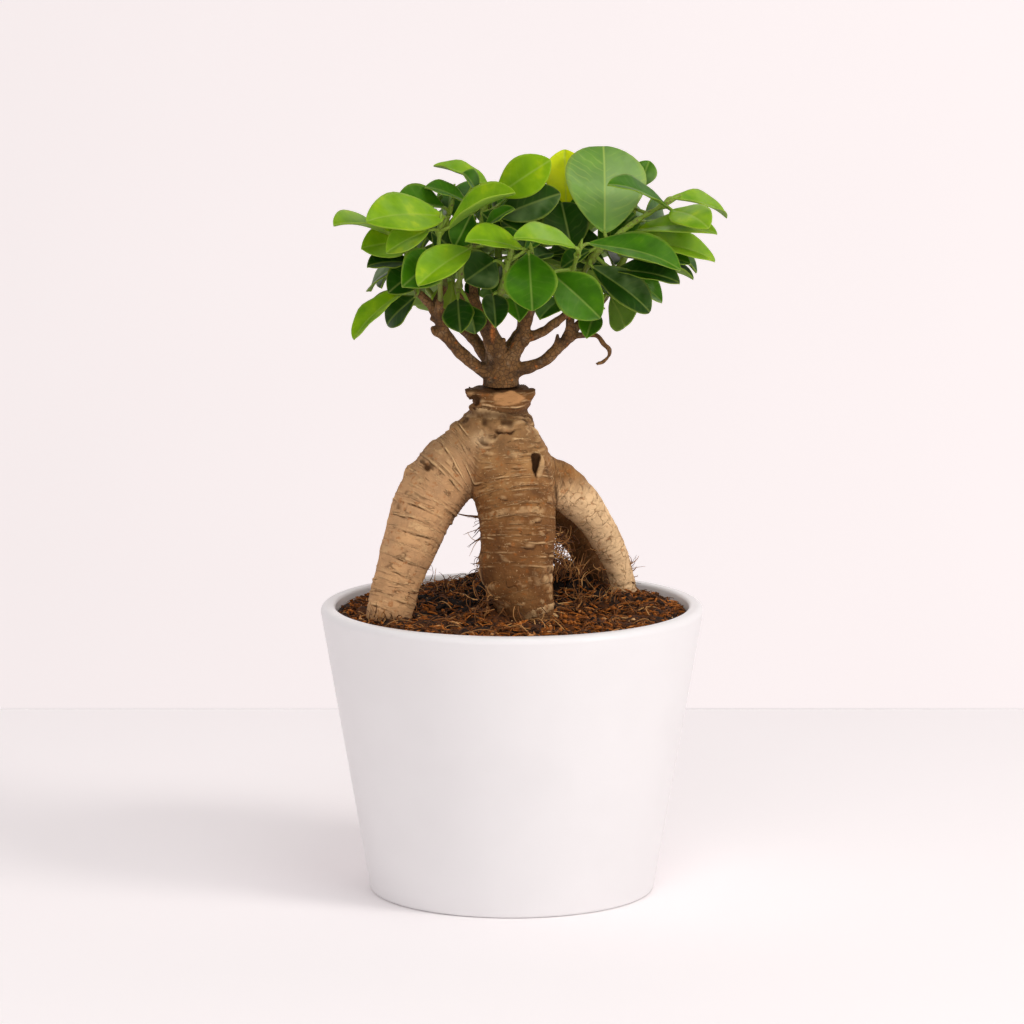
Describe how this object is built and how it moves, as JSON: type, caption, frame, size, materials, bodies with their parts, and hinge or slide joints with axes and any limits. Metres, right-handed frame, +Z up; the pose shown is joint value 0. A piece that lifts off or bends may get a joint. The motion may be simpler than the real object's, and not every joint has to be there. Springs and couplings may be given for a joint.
{
  "type": "ginseng ficus in a pot",
  "caption": "Small ginseng ficus with swollen aerial roots, grafted twiggy crown and glossy oval leaves, growing in a plain tapered white glazed pot.",
  "frame": {"origin": "centre of the pot's flat underside", "axes": "+Z up, -Y towards the plant's front, +X to its right as seen from the front"},
  "size_m": [0.1481, 0.14, 0.2733],
  "materials": {
    "glaze": "satin white glaze over slip-cast stoneware",
    "peat": "loose dark peat and bark potting mix",
    "root_bark": "thin beige bark with ring-like lenticel bands",
    "twig_bark": "rough brown bark",
    "leaf": "glossy leathery leaf"
  },
  "bodies": {
    "root": {"pot": "glaze", "soil": "peat", "root_stock": "root_bark", "grafted_wood": "twig_bark", "leafy_shoot_left_main": "leaf", "leafy_shoot_left_front": "leaf", "leafy_shoot_left_back": "leaf", "leafy_shoot_stem": "leaf", "leafy_shoot_stem_top": "leaf", "leafy_shoot_stem_back": "leaf", "leafy_shoot_stem_front": "leaf", "leafy_shoot_centre": "leaf", "leafy_shoot_centre_top": "leaf", "leafy_shoot_centre_right": "leaf", "leafy_shoot_right": "leaf", "leafy_shoot_right_outer": "leaf", "leafy_shoot_back_right": "leaf", "leafy_shoot_back_top": "leaf", "leafy_shoot_back_left": "leaf", "leafy_shoot_back_left_top": "leaf"}
  },
  "joints": []
}
